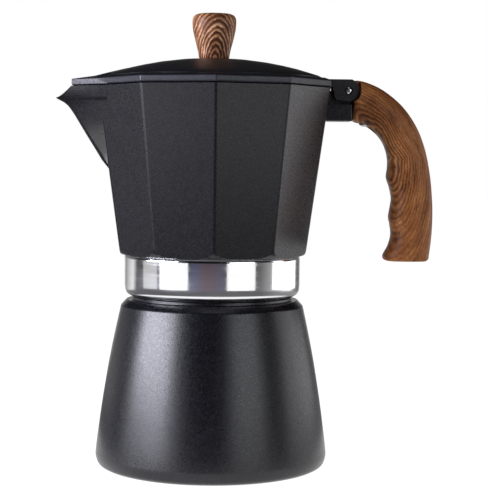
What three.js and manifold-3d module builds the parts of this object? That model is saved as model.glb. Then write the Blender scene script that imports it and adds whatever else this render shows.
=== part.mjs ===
// Stovetop moka pot. Millimetres, +Z up, base centre at the origin, handle toward +X, spout toward -X.
import * as THREE from 'three';
import { mergeVertices } from 'three/addons/utils/BufferGeometryUtils.js';
import Module from 'manifold-3d';

const wasm = await Module();
wasm.setup();

// Boiler
const BASE_RADIUS = 50;
const BASE_FLAT_RADIUS = 46;
const SHOULDER_Z = 69.4;
const NECK_STEP_Z = 71.8;
const NECK_ROOT_RADIUS = 33.0;
const NECK_BORE_RADIUS = 30.6;
const BOILER_RIM_Z = 83.6;

// Screw thread between the boiler and the upper part
const PITCH = 3.0;
const MALE_CREST_RADIUS = 34.0;
const FEMALE_CREST_RADIUS = 34.75;
const FEMALE_ROOT_RADIUS = 35.3;
const STEPS_PER_TURN = 20;

// Upper chamber, ten flat sides with one facing each way along X
const SIDES = 10;
const RIM_Z = 162.4;
const RIM_CORNER_RADIUS = 51.35;
const SIDE_TAPER = 0.1408;
const BODY_BOTTOM_Z = 91.0;
const SPIGOT_RADIUS = 35.0;
const SEAT_Z = 88.2;
const FLOOR_Z = 97.0;
const WALL = 2.7;
const SPOUT_ROOT_X = 44.6;

// Hinge and handle
const PIN_X = 57.5;
const PIN_Z = 161.8;
const PIN_RADIUS = 1.5;
const KNUCKLE_HALF_WIDTH = 3.7;
const EAR_INNER_Y = 4.0;
const EAR_OUTER_Y = 6.6;
const HANDLE_WIDTH = 19;
const HANDLE_SCREW_X = 66;

// Lid and knob
const LID_BOTTOM_Z = 162.75;
const LID_TOP_Z = 174.7;

// Safety valve, pointing along +Y
const VALVE_Z = 50;
const VALVE_FACE_Y = 44.8;

function closeSolid(geometry) {
  const bare = geometry.clone();
  bare.deleteAttribute('normal');
  bare.deleteAttribute('uv');
  const merged = mergeVertices(bare, 1e-4);
  const position = merged.attributes.position;
  const source = merged.index.array;
  const triangles = [];
  let volume = 0;
  const a = new THREE.Vector3();
  const b = new THREE.Vector3();
  const c = new THREE.Vector3();
  for (let i = 0; i < source.length; i += 3) {
    const [p, q, r] = [source[i], source[i + 1], source[i + 2]];
    if (p === q || q === r || p === r) continue;
    a.fromBufferAttribute(position, p);
    b.fromBufferAttribute(position, q);
    c.fromBufferAttribute(position, r);
    volume += a.dot(b.cross(c));
    triangles.push(p, q, r);
  }
  if (volume < 0) {
    for (let i = 0; i < triangles.length; i += 3) {
      [triangles[i], triangles[i + 1]] = [triangles[i + 1], triangles[i]];
    }
  }
  const mesh = new wasm.Mesh({
    numProp: 3,
    vertProperties: Float32Array.from(position.array),
    triVerts: Uint32Array.from(triangles),
  });
  return new wasm.Manifold(mesh);
}

function lathe(profile, segments = 64) {
  const points = profile.map(([radius, z]) => new THREE.Vector2(radius, z));
  const geometry = new THREE.LatheGeometry(points, segments);
  return closeSolid(geometry.rotateX(Math.PI / 2));
}

function ring(innerRadius, outerRadius, z0, z1, segments = 64) {
  return lathe([
    [innerRadius, z0],
    [outerRadius, z0],
    [outerRadius, z1],
    [innerRadius, z1],
    [innerRadius, z0],
  ], segments);
}

function cylinder(radius, from, to, segments = 32) {
  const start = new THREE.Vector3(...from);
  const end = new THREE.Vector3(...to);
  const length = start.distanceTo(end);
  const geometry = new THREE.CylinderGeometry(radius, radius, length, segments);
  const turn = new THREE.Quaternion().setFromUnitVectors(
    new THREE.Vector3(0, 1, 0),
    end.clone().sub(start).normalize(),
  );
  geometry.applyQuaternion(turn);
  const middle = start.add(end).multiplyScalar(0.5);
  return closeSolid(geometry.translate(middle.x, middle.y, middle.z));
}

function box(x0, x1, y0, y1, z0, z1) {
  const geometry = new THREE.BoxGeometry(x1 - x0, y1 - y0, z1 - z0);
  return closeSolid(geometry.translate((x0 + x1) / 2, (y0 + y1) / 2, (z0 + z1) / 2));
}

// Joins outlines with the same number of points, closing both ends.
function loft(outlines) {
  const count = outlines[0].length;
  const positions = outlines.flat(2);
  const indices = [];
  for (let row = 0; row + 1 < outlines.length; row += 1) {
    for (let i = 0; i < count; i += 1) {
      const j = (i + 1) % count;
      const a = row * count + i;
      const b = row * count + j;
      indices.push(a, b, b + count);
      indices.push(a, b + count, a + count);
    }
  }
  const last = (outlines.length - 1) * count;
  for (let i = 1; i + 1 < count; i += 1) {
    indices.push(0, i + 1, i);
    indices.push(last, last + i, last + i + 1);
  }
  const geometry = new THREE.BufferGeometry();
  geometry.setAttribute('position', new THREE.Float32BufferAttribute(positions, 3));
  geometry.setIndex(indices);
  return closeSolid(geometry);
}

// A flat outline in the XZ plane given a width along Y, centred on the plane.
function plate(outline, y0, y1) {
  const shape = new THREE.Shape(outline.map(([x, z]) => new THREE.Vector2(x, z)));
  const geometry = new THREE.ExtrudeGeometry(shape, { depth: y1 - y0, bevelEnabled: false });
  geometry.rotateX(Math.PI / 2);
  return closeSolid(geometry.translate(0, y1, 0));
}

function decagon(radius, z) {
  const outline = [];
  for (let i = 0; i < SIDES; i += 1) {
    const angle = ((i + 0.5) / SIDES) * 2 * Math.PI;
    outline.push([radius * Math.cos(angle), radius * Math.sin(angle), z]);
  }
  return outline;
}

// A ridge that winds round the Z axis, fading in and out at its ends.
function threadRidge(rootRadius, crestRadius, z0, z1, startAngle) {
  const turns = (z1 - z0) / PITCH;
  const steps = Math.round(turns * STEPS_PER_TURN);
  const outlines = [];
  for (let i = 0; i <= steps; i += 1) {
    const along = i / steps;
    const angle = startAngle + along * turns * 2 * Math.PI;
    const z = z0 + along * (z1 - z0);
    const fade = Math.min(1, 0.12 + along * 10, 0.12 + (1 - along) * 10);
    const crest = rootRadius + (crestRadius - rootRadius) * fade;
    const sunk = rootRadius - Math.sign(crestRadius - rootRadius) * 0.4;
    const section = [[sunk, -1.15], [crest, -0.4], [crest, 0.4], [sunk, 1.15]];
    outlines.push(section.map(([r, dz]) => [r * Math.cos(angle), r * Math.sin(angle), z + dz]));
  }
  return loft(outlines);
}

function hexPrism(acrossFlats, y0, y1) {
  const radius = acrossFlats / Math.sqrt(3);
  return cylinder(radius, [0, y0, VALVE_Z], [0, y1, VALVE_Z], 6);
}

function boiler() {
  const outside = [
    [0, 0], [BASE_FLAT_RADIUS, 0], [48.6, 0.7], [BASE_RADIUS, 4], [49.3, 10.7], [47.0, 28],
    [43.6, 48.5], [39.2, SHOULDER_Z], [36.8, NECK_STEP_Z], [34.5, NECK_STEP_Z], [34.5, 73.1],
    [NECK_ROOT_RADIUS, 73.1], [NECK_ROOT_RADIUS, BOILER_RIM_Z - 0.5],
    [NECK_ROOT_RADIUS - 0.5, BOILER_RIM_Z], [0, BOILER_RIM_Z],
  ];
  const inside = [
    [0, 3.2], [44.2, 3.2], [46.4, 5.6], [45.3, 16], [43.1, 31.6], [39.5, 52.4], [36.4, 67],
    [33.6, 69.4], [NECK_BORE_RADIUS, 71.6],
    [NECK_BORE_RADIUS, BOILER_RIM_Z + 1], [0, BOILER_RIM_Z + 1],
  ];
  const boss = cylinder(7.6, [0, 38.3, VALVE_Z], [0, VALVE_FACE_Y, VALVE_Z]);
  const bossHole = cylinder(4.2, [0, 30, VALVE_Z], [0, 50, VALVE_Z]);
  const thread = threadRidge(NECK_ROOT_RADIUS, MALE_CREST_RADIUS, 75.0, 81.8, 0);
  return lathe(outside, 48)
    .subtract(lathe(inside, 48))
    .add(boss)
    .add(thread)
    .subtract(bossHole);
}

function valveBody() {
  const shank = cylinder(4.0, [0, 33.6, VALVE_Z], [0, 46.2, VALVE_Z], 24);
  const flange = hexPrism(11, 45.9, 49.4);
  const nose = cylinder(4.4, [0, 49.2, VALVE_Z], [0, 53.4, VALVE_Z], 24);
  const bore = cylinder(2.8, [0, 38.6, VALVE_Z], [0, 60, VALVE_Z], 24);
  const seat = cylinder(1.5, [0, 30, VALVE_Z], [0, 45, VALVE_Z], 24);
  return shank.add(flange).add(nose).subtract(bore).subtract(seat);
}

function valveWasher() {
  const disc = cylinder(6.3, [0, 44.95, VALVE_Z], [0, 45.75, VALVE_Z]);
  return disc.subtract(cylinder(4.2, [0, 40, VALVE_Z], [0, 50, VALVE_Z]));
}

function valveNut() {
  const nut = hexPrism(11.5, 34.9, 38.15);
  return nut.subtract(cylinder(4.08, [0, 30, VALVE_Z], [0, 40, VALVE_Z], 24));
}

function valveStem() {
  const head = cylinder(2.5, [0, 38.7, VALVE_Z], [0, 40.1, VALVE_Z], 24);
  const rod = cylinder(0.9, [0, 40, VALVE_Z], [0, 55.0, VALVE_Z], 16);
  return head.add(rod);
}

class SpringCurve extends THREE.Curve {
  getPoint(t, target = new THREE.Vector3()) {
    const turns = 6;
    const angle = t * turns * 2 * Math.PI;
    const along = 40.6 + t * 10.2;
    return target.set(1.9 * Math.cos(angle), along, VALVE_Z + 1.9 * Math.sin(angle));
  }
}

function valveSpring() {
  const wire = new THREE.Shape();
  wire.absarc(0, 0, 0.35, 0, 2 * Math.PI);
  const coil = new THREE.ExtrudeGeometry(wire, {
    steps: 54,
    curveSegments: 3,
    bevelEnabled: false,
    extrudePath: new SpringCurve(),
  });
  return closeSolid(coil);
}

function valveCap() {
  const disc = cylinder(2.72, [0, 51.3, VALVE_Z], [0, 52.4, VALVE_Z], 24);
  return disc.subtract(cylinder(1.15, [0, 50, VALVE_Z], [0, 54, VALVE_Z], 24));
}

function funnel() {
  return lathe([
    [32.8, 83.75], [32.8, 84.5], [29.1, 84.5], [29.1, 60.6], [27.0, 59.4], [6.9, 54.8],
    [4.2, 51.3], [4.2, 7.0], [5.0, 7.0], [5.0, 51.0], [7.5, 54.0], [27.5, 58.6],
    [29.9, 60.0], [29.9, 83.75], [32.8, 83.75],
  ], 40);
}

// Hole centres on rings round the axis.
function holeCentres(rings, spacing) {
  const centres = [[0, 0]];
  for (let row = 1; row <= rings; row += 1) {
    for (let i = 0; i < row * 6; i += 1) {
      const angle = (i / (row * 6)) * 2 * Math.PI;
      centres.push([row * spacing * Math.cos(angle), row * spacing * Math.sin(angle)]);
    }
  }
  return centres;
}

function perforate(disc, radius, rings, spacing, z0, z1) {
  const cutters = holeCentres(rings, spacing).map(([x, y]) => cylinder(radius, [x, y, z0], [x, y, z1], 4));
  return disc.subtract(wasm.Manifold.union(cutters));
}

function funnelStrainer() {
  const disc = ring(0, 28.8, 60.8, 61.5, 48);
  return perforate(disc, 1.2, 3, 7.4, 60, 62);
}

function gasket() {
  return lathe([
    [28.6, 84.7], [33.0, 84.7], [33.4, 85.1], [33.4, 87.5], [33.0, 87.9], [28.6, 87.9], [28.6, 84.7],
  ], 40);
}

function filterPlate() {
  const plateSolid = lathe([
    [0, 85.9], [26.6, 85.9], [27.2, 85.3], [28.3, 85.3], [28.3, 87.8], [27.6, 87.8],
    [27.6, 86.5], [0, 86.5],
  ], 40);
  return perforate(plateSolid, 1.2, 3, 7.4, 85, 88);
}

function threadedCollar() {
  const body = lathe([
    [34.9, 73.5], [36.9, 74.3], [38.0, 76.2], [38.1, 90.2], [37.6, 90.85],
    [35.15, 90.85], [35.15, 88.0], [FEMALE_ROOT_RADIUS, 86.6], [FEMALE_ROOT_RADIUS, 74.6],
    [34.9, 73.5],
  ], 48);
  const thread = threadRidge(FEMALE_ROOT_RADIUS, FEMALE_CREST_RADIUS, 76.5, 84.9, Math.PI);
  const shoulder = ring(34.4, 36, 86.6, 88.0, 48);
  return body.add(thread).add(shoulder);
}

// Spout keel: how far out the fold of the spout reaches at each height.
const KEEL = [
  [127.6, 44.9], [131.2, 47.8], [136.3, 50.9], [141.4, 54.1], [145.7, 56.7], [148.2, 58.3],
  [150.8, 59.8], [153.3, 61.4], [154.6, 62.4], [155.8, 63.8], [156.6, 65.6], [157.2, 67.4],
  [157.6, 68.0], [180, 68.0],
];

function keelReach(z) {
  for (let i = 1; i < KEEL.length; i += 1) {
    const [z0, x0] = KEEL[i - 1];
    const [z1, x1] = KEEL[i];
    if (z <= z1) return x0 + ((x1 - x0) * (z - z0)) / (z1 - z0);
  }
  return KEEL.at(-1)[1];
}

function cornerRadius(z) {
  return RIM_CORNER_RADIUS - SIDE_TAPER * (RIM_Z - z);
}

function spoutRoot(z) {
  const radius = cornerRadius(z);
  const corner = radius * Math.cos(Math.PI / SIDES);
  const reach = Math.min(SPOUT_ROOT_X, corner - 0.05);
  const spread = (corner - reach) / (radius * 0.3633);
  return [reach, radius * 0.309 + spread * radius * 0.5];
}

function spoutOutside() {
  const heights = [
    127.7, 131.2, 136.3, 141.4, 145.7, 148.2, 150.8, 153.3, 154.6, 155.8, 156.6, 157.2, 157.6, RIM_Z,
  ];
  return loft(heights.map((z) => {
    const [rootX, rootY] = spoutRoot(z);
    const reach = Math.max(keelReach(z), rootX + 0.3);
    return [
      [-38, rootY, z], [-rootX, rootY, z], [-reach + 0.5, 1.2, z], [-reach, 0, z],
      [-reach + 0.5, -1.2, z], [-rootX, -rootY, z], [-38, -rootY, z],
    ];
  }));
}

function spoutChannel() {
  const heights = [134, 138, 142, 146, 149, 152, 154.5, 156, 157.2, 158, 158.8, 159.4, 159.8, 170];
  return loft(heights.map((z) => {
    const [rootX, rootY] = spoutRoot(Math.min(z, RIM_Z));
    const reach = keelReach(z - 2.0) - 1.9;
    const width = rootY - 3.0;
    return [
      [-38, width, z], [-rootX + 1.2, width, z], [-reach + 0.5, 0.9, z], [-reach, 0, z],
      [-reach + 0.5, -0.9, z], [-rootX + 1.2, -width, z], [-38, -width, z],
    ];
  }));
}

function lipCut() {
  return plate([
    [-60.3, RIM_Z], [-62.2, 160.9], [-63.9, 159.5], [-65.7, 158.4], [-67.6, 157.7], [-72, 157.4],
    [-72, 175], [-60.3, 175],
  ], -30, 30);
}

function column() {
  return lathe([
    [0, 94.8], [11, 94.8], [8.4, 98.2], [7.2, 104], [6.0, 136.4], [5.2, 138.6], [3.4, 140], [0, 140.4],
  ], 32);
}

function upperChamber() {
  const sides = loft([decagon(cornerRadius(BODY_BOTTOM_Z), BODY_BOTTOM_Z), decagon(RIM_CORNER_RADIUS, RIM_Z)]);
  const bottomRound = lathe([
    [0, BODY_BOTTOM_Z], [38.5, BODY_BOTTOM_Z], [39.9, 91.5], [41.0, 92.6], [41.8, 94.6], [60, 120],
    [60, 170], [0, 170],
  ], 40);
  const cavity = loft([
    decagon(cornerRadius(FLOOR_Z) - WALL - 3.0, FLOOR_Z),
    decagon(cornerRadius(FLOOR_Z + 2.5) - WALL - 0.1, FLOOR_Z + 2.5),
    decagon(cornerRadius(170) - WALL - 0.1, 170),
  ]);
  const spigot = ring(0, SPIGOT_RADIUS, SEAT_Z, BODY_BOTTOM_Z + 1, 40);
  const lug = box(40, 59.4, -6.8, 6.8, 148.7, 156.4);
  const tongue = box(50, 70, -3.5, 3.5, 152.6, 160);
  const web = box(40, PIN_X, -KNUCKLE_HALF_WIDTH, KNUCKLE_HALF_WIDTH, 150, PIN_Z);
  const knuckle = cylinder(
    4.3,
    [PIN_X, -KNUCKLE_HALF_WIDTH, PIN_Z],
    [PIN_X, KNUCKLE_HALF_WIDTH, PIN_Z],
  );
  const underside = lathe([
    [0, 80], [27.4, 80], [27.4, SEAT_Z + 0.01], [25.6, 89.6], [4.6, 94.2], [3.2, 96], [3.2, 134.5],
    [0, 136.5],
  ], 40);
  const outlets = cylinder(1.9, [0, -12, 131.5], [0, 12, 131.5], 16);
  const pinHole = cylinder(PIN_RADIUS + 0.05, [PIN_X, -10, PIN_Z], [PIN_X, 10, PIN_Z], 24);
  const screwHole = cylinder(2.0, [HANDLE_SCREW_X, 0, 150], [HANDLE_SCREW_X, 0, 158], 20);
  return sides
    .intersect(bottomRound)
    .add(spoutOutside())
    .subtract(lipCut())
    .add(spigot)
    .add(lug)
    .add(web)
    .add(knuckle)
    .subtract(cavity)
    .subtract(spoutChannel())
    .add(column())
    .add(tongue)
    .subtract(underside)
    .subtract(outlets)
    .subtract(pinHole)
    .subtract(screwHole);
}

function hingePin() {
  return cylinder(PIN_RADIUS, [PIN_X, -6.9, PIN_Z], [PIN_X, 6.9, PIN_Z], 24);
}

// A smooth run of points through the given ones.
function smooth(points, count) {
  const curve = new THREE.SplineCurve(points.map(([x, z]) => new THREE.Vector2(x, z)));
  return curve.getSpacedPoints(count - 1).map((p) => [p.x, p.y]);
}

function handle() {
  const outer = [
    [59.7, 166.3], [63.2, 166.2], [67.2, 165.0], [70.2, 163.7], [74.6, 161.2], [78.0, 158.6], [81.9, 154.8],
    [85.8, 149.8], [88.1, 145.5], [90.2, 140.3], [91.7, 135.2], [92.9, 130], [94.2, 121.5], [94.9, 114],
    [95.0, 107], [94.7, 100], [94.1, 93.6], [93.5, 88.9],
  ];
  const inner = [
    [74.2, 88.9], [73.4, 89.9], [74.6, 92], [76.5, 95.6], [77.2, 100], [76.9, 104], [76.1, 107.3], [76.6, 111],
    [77.2, 115.5], [76.4, 120.4], [74.9, 124.6], [75.2, 128.5], [75.5, 131.5], [74.9, 135.6], [73.4, 139.5],
    [70.8, 143.1], [66.6, 146.2], [63, 147.9], [59.7, 148.7],
  ];
  const outline = [...smooth(outer, 26), ...smooth(inner, 34)];
  const grip = plate(outline, -HANDLE_WIDTH / 2, HANDLE_WIDTH / 2);
  const earPockets = box(50, 63.0, -20, -3.8, 156.9, 180).add(box(50, 63.0, 3.8, 20, 156.9, 180));
  const knuckleSpace = cylinder(4.7, [PIN_X, -3.8, PIN_Z], [PIN_X, 3.8, PIN_Z], 32)
    .add(box(50, PIN_X, -3.8, 3.8, 156.9, 180));
  const slot = box(50, 70.3, -3.8, 3.8, 152.3, 160.3);
  const screwHole = cylinder(2.2, [HANDLE_SCREW_X, 0, 140], [HANDLE_SCREW_X, 0, 155], 24);
  const counterbore = cylinder(4.2, [HANDLE_SCREW_X, 0, 140], [HANDLE_SCREW_X, 0, 149.6], 32);
  const hollows = [earPockets, knuckleSpace, slot, screwHole, counterbore];
  return hollows.reduce((solid, hollow) => solid.subtract(hollow), grip);
}

function handleWasher() {
  return ring(2.15, 3.9, 148.75, 149.5, 32).translate([HANDLE_SCREW_X, 0, 0]);
}

function handleScrew() {
  const head = cylinder(3.5, [HANDLE_SCREW_X, 0, 146.7], [HANDLE_SCREW_X, 0, 148.65], 24);
  const shank = cylinder(1.9, [HANDLE_SCREW_X, 0, 148.6], [HANDLE_SCREW_X, 0, 157.4], 20);
  const drive = box(HANDLE_SCREW_X - 2.6, HANDLE_SCREW_X + 2.6, -0.45, 0.45, 146, 147.6);
  const crossDrive = box(HANDLE_SCREW_X - 0.45, HANDLE_SCREW_X + 0.45, -2.6, 2.6, 146, 147.6);
  return head.add(shank).subtract(drive).subtract(crossDrive);
}

function beakSection(x, halfWidth, top, bottom, inset) {
  const w = halfWidth - inset;
  const edge = Math.min(165.3, top - 0.4) - inset;
  return [
    [x, -w, bottom], [x, w, bottom], [x, w, edge], [x, w * 0.4, top - inset],
    [x, -w * 0.4, top - inset], [x, -w, edge],
  ];
}

function lid() {
  const rim = loft([
    decagon(51.2, LID_BOTTOM_Z), decagon(51.6, LID_BOTTOM_Z + 0.4), decagon(51.6, 165.5), decagon(49.4, 166.6),
  ]);
  const dome = lathe([
    [0, 164], [46.2, 164], [46.2, 167.0], [45.1, 167.9], [40.6, 169.2], [36.2, 170.5], [30.9, 171.75],
    [24.3, 173.05], [15.9, 174.2], [7.5, LID_TOP_Z], [0, LID_TOP_Z],
  ], 40);
  const hollow = lathe([
    [0, 150], [45.6, 150], [45.6, 164.9], [44.4, 166.0], [40.4, 167.3], [36.0, 168.6], [30.7, 169.9],
    [24.1, 171.2], [15.7, 172.4], [7.5, 173.1], [0, 173.1],
  ], 40);
  const beak = loft([
    beakSection(-37, 27, 170.1, LID_BOTTOM_Z, 0),
    beakSection(-44.6, 21.9, 168.4, LID_BOTTOM_Z, 0),
    beakSection(-50.5, 16.5, 166.9, LID_BOTTOM_Z, 0),
    beakSection(-60.3, 7.6, 165.7, LID_BOTTOM_Z, 0),
  ]);
  const beakHollow = loft([
    beakSection(-36, 27, 169.9, 150, 1.6),
    beakSection(-44.6, 21.9, 168.4, 150, 1.6),
    beakSection(-50.5, 16.5, 166.9, 150, 1.6),
    beakSection(-58.7, 9.05, 165.9, 150, 1.6),
  ]);
  const earOutline = [[46.4, 163.2], [51.0, 163.2], [51.4, 158.7], [52.3, 157.7], [PIN_X - 2, 157.4]];
  for (let i = 0; i <= 10; i += 1) {
    const angle = -Math.PI / 2 + (i / 10) * Math.PI * 0.82;
    earOutline.push([PIN_X + 4.6 * Math.cos(angle), PIN_Z + 4.6 * Math.sin(angle)]);
  }
  earOutline.push([59.0, 166.6], [46.4, 166.6]);
  const ears = plate(earOutline, -EAR_OUTER_Y, -EAR_INNER_Y).add(plate(earOutline, EAR_INNER_Y, EAR_OUTER_Y));
  const pinHole = cylinder(PIN_RADIUS + 0.15, [PIN_X, -10, PIN_Z], [PIN_X, 10, PIN_Z], 24);
  const knobHole = cylinder(2.2, [0, 0, 170], [0, 0, 180], 24);
  return rim
    .add(dome)
    .add(beak)
    .subtract(hollow)
    .subtract(beakHollow)
    .add(ears)
    .subtract(pinHole)
    .subtract(knobHole);
}

function lidKnob() {
  const body = lathe([
    [0, 174.8], [6.2, 174.8], [6.5, 175.4], [6.7, 177], [7.4, 179.6], [8.05, 182.1], [8.7, 184.7],
    [9.2, 187.3], [9.4, 189.8], [9.2, 191.6], [8.65, 193.0], [7.5, 193.9], [6.0, 194.2], [0, 194.3],
  ], 32);
  const socket = cylinder(3.5, [0, 0, 176.2], [0, 0, 184.8], 24);
  const entry = cylinder(2.3, [0, 0, 170], [0, 0, 177], 24);
  return body.subtract(socket).subtract(entry);
}

function knobInsert() {
  return ring(2.02, 3.4, 176.4, 184.4, 24);
}

function knobScrew() {
  const head = cylinder(3.7, [0, 0, 170.1], [0, 0, 172.0], 24);
  const shank = cylinder(1.9, [0, 0, 171.9], [0, 0, 183.8], 20);
  const drive = box(-2.7, 2.7, -0.45, 0.45, 169, 171);
  const crossDrive = box(-0.45, 0.45, -2.7, 2.7, 169, 171);
  return head.add(shank).subtract(drive).subtract(crossDrive);
}

function knobWasher() {
  return ring(2.15, 5.0, 172.1, 172.9, 32);
}

const paintedBlack = { color: 0x1d1e22, metalness: 0.4, roughness: 0.5 };
const polished = { color: 0xd8dade, metalness: 1, roughness: 0.12 };
const steel = { color: 0xb9bcc0, metalness: 1, roughness: 0.3 };
const brass = { color: 0xc09a50, metalness: 1, roughness: 0.35 };
const rawAluminium = { color: 0xa9abae, metalness: 1, roughness: 0.45 };
const woodLook = { color: 0x8a5229, metalness: 0, roughness: 0.45 };
const silicone = { color: 0xe6e2d8, metalness: 0, roughness: 0.6 };

const parts = [
  ['boiler', boiler(), paintedBlack],
  ['valve_body', valveBody(), brass],
  ['valve_washer', valveWasher(), steel],
  ['valve_nut', valveNut(), brass],
  ['valve_stem', valveStem(), steel],
  ['valve_spring', valveSpring(), steel],
  ['valve_cap', valveCap(), brass],
  ['funnel', funnel(), rawAluminium],
  ['funnel_strainer', funnelStrainer(), rawAluminium],
  ['gasket', gasket(), silicone],
  ['filter_plate', filterPlate(), rawAluminium],
  ['upper_chamber', upperChamber(), paintedBlack],
  ['threaded_collar', threadedCollar(), polished],
  ['hinge_pin', hingePin(), steel],
  ['handle', handle(), woodLook],
  ['handle_washer', handleWasher(), steel],
  ['handle_screw', handleScrew(), steel],
  ['lid', lid(), paintedBlack],
  ['lid_knob', lidKnob(), woodLook],
  ['knob_insert', knobInsert(), brass],
  ['knob_screw', knobScrew(), steel],
  ['knob_washer', knobWasher(), steel],
];

function toThreeMesh(name, manifold, look) {
  const data = manifold.getMesh();
  const geometry = new THREE.BufferGeometry();
  geometry.setAttribute('position', new THREE.Float32BufferAttribute(data.vertProperties, 3));
  geometry.setIndex(Array.from(data.triVerts));
  geometry.computeVertexNormals();
  const mesh = new THREE.Mesh(geometry, new THREE.MeshStandardMaterial(look));
  mesh.name = name;
  return mesh;
}

const pot = new THREE.Group();
pot.name = 'moka_pot';
for (const [name, manifold, look] of parts) {
  pot.add(toThreeMesh(name, manifold, look));
}

export default pot;
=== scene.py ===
import math
import bpy
from mathutils import Matrix, Vector


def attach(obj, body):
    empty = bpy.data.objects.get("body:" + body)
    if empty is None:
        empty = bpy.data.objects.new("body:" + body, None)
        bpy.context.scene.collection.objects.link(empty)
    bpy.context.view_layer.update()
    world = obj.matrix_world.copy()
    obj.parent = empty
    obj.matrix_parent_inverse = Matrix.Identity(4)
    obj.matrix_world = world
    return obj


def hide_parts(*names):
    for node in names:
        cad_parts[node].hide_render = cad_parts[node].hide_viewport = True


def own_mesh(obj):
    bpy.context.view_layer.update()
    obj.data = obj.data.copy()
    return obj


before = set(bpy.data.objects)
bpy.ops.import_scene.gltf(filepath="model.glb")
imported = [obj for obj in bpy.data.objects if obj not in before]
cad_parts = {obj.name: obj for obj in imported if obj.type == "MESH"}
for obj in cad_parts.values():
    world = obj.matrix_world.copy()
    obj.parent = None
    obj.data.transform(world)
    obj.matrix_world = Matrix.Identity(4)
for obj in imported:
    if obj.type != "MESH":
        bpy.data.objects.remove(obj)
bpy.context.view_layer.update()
mm = 0.001
sameSpot = 0.000002
nearSpot = 0.000004
sides = 10
rimZ = 162.4
rimCorner = 51.35
sideTaper = 0.1408
pinPlace = (57.5, 161.8)
handleScrewX = 66


# small helpers for modelling

def clearSelection():
    if bpy.context.mode != "OBJECT":
        bpy.ops.object.mode_set(mode="OBJECT")
    bpy.ops.object.select_all(action="DESELECT")


def pick(piece):
    clearSelection()
    piece.select_set(True)
    bpy.context.view_layer.objects.active = piece


def placeInMesh(piece):
    pick(piece)
    bpy.ops.object.transform_apply(location=True, rotation=True, scale=True)


def wear(piece, *names):
    # the finishes of a piece, in the order of its material slots
    piece.data.materials.clear()
    for name in names:
        piece.data.materials.append(finishes[name])


def newest(name):
    # the piece that was added last, under its own name
    piece = bpy.context.object
    piece.name = name
    piece.data.name = name
    return piece


def moveAlongX(piece, x):
    piece.location = (x * mm, 0, 0)
    placeInMesh(piece)


def mergeClose(apart=sameSpot):
    bpy.ops.mesh.select_all(action="SELECT")
    bpy.ops.mesh.remove_doubles(threshold=apart)


def faceOutward():
    # turns all faces outward and leaves edit mode
    bpy.ops.mesh.select_all(action="SELECT")
    bpy.ops.mesh.normals_make_consistent(inside=False)
    bpy.ops.object.mode_set(mode="OBJECT")


def fillEnds(most):
    # closes both ends of a wound shape, each with at most this many sides
    bpy.ops.object.mode_set(mode="EDIT")
    bpy.ops.mesh.select_all(action="DESELECT")
    bpy.ops.mesh.select_non_manifold()
    bpy.ops.mesh.fill_holes(sides=most)
    faceOutward()


def modify(piece, kind, **values):
    pick(piece)
    bpy.ops.object.modifier_add(type=kind)
    modifier = piece.modifiers[-1]
    for key, value in values.items():
        setattr(modifier, key, value)
    bpy.ops.object.modifier_apply(modifier=modifier.name)


def smoothSides(piece, degrees=32):
    pick(piece)
    bpy.ops.object.shade_smooth_by_angle(angle=math.radians(degrees))


def flatSides(piece, degrees):
    # keeps the large flat faces flat beside their rounded edges
    smoothSides(piece, degrees)
    modify(piece, "WEIGHTED_NORMAL", weight=100, keep_sharp=True)


def roundedLine(points, bend=4):
    # a third number at a point is the radius its corner is rounded to
    line = []
    for i, point in enumerate(points):
        corner = Vector(point[:2])
        radius = point[2] if len(point) > 2 else 0
        if not radius or i in (0, len(points) - 1):
            line.append(tuple(corner))
            continue
        before = Vector(points[i - 1][:2]) - corner
        after = Vector(points[i + 1][:2]) - corner
        reach = min(radius, before.length * 0.49, after.length * 0.49)
        start = corner + before.normalized() * reach
        end = corner + after.normalized() * reach
        for k in range(bend + 1):
            t = k / bend
            line.append(tuple(start * (1 - t) ** 2 + corner * 2 * t * (1 - t) + end * t ** 2))
    return line


def drawLine(name, points):
    # one corner of a plane, drawn out from point to point in the XZ plane
    clearSelection()
    bpy.ops.mesh.primitive_plane_add(size=0.002)
    piece = newest(name)
    bpy.ops.object.mode_set(mode="EDIT")
    bpy.ops.mesh.select_all(action="SELECT")
    bpy.ops.mesh.merge(type="CENTER")
    bpy.ops.transform.translate(value=(points[0][0] * mm, 0, points[0][1] * mm))
    for (x0, z0), (x1, z1) in zip(points, points[1:]):
        step = ((x1 - x0) * mm, 0, (z1 - z0) * mm)
        bpy.ops.mesh.extrude_region_move(TRANSFORM_OT_translate={"value": step})
    return piece


def turned(name, points, steps=96, bend=4):
    # a profile of (radius, height) turned all the way round the Z axis
    piece = drawLine(name, roundedLine(points, bend))
    mergeClose()
    bpy.ops.mesh.select_all(action="SELECT")
    bpy.ops.mesh.spin(steps=steps, angle=2 * math.pi, center=(0, 0, 0), axis=(0, 0, 1))
    mergeClose(nearSpot)
    faceOutward()
    smoothSides(piece)
    return piece


def rod(name, radius, low, high, edge=0.0, vertices=48):
    # an upright cylinder from low to high with softened ends
    clearSelection()
    bpy.ops.mesh.primitive_cylinder_add(
        vertices=vertices, radius=radius * mm, depth=(high - low) * mm,
        location=(0, 0, (low + high) / 2 * mm))
    piece = newest(name)
    placeInMesh(piece)
    if edge:
        softenEdges(piece, edge)
    return piece


def block(name, x, y, z, edge=0.0):
    clearSelection()
    bpy.ops.mesh.primitive_cube_add(
        size=1, location=((x[0] + x[1]) / 2 * mm, (y[0] + y[1]) / 2 * mm, (z[0] + z[1]) / 2 * mm),
        scale=((x[1] - x[0]) * mm, (y[1] - y[0]) * mm, (z[1] - z[0]) * mm))
    piece = newest(name)
    placeInMesh(piece)
    if edge:
        softenEdges(piece, edge)
    return piece


def softenEdges(piece, width, segments=3, degrees=30):
    modify(piece, "BEVEL", width=width * mm, segments=segments, limit_method="ANGLE",
           angle_limit=math.radians(degrees), harden_normals=False)


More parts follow.
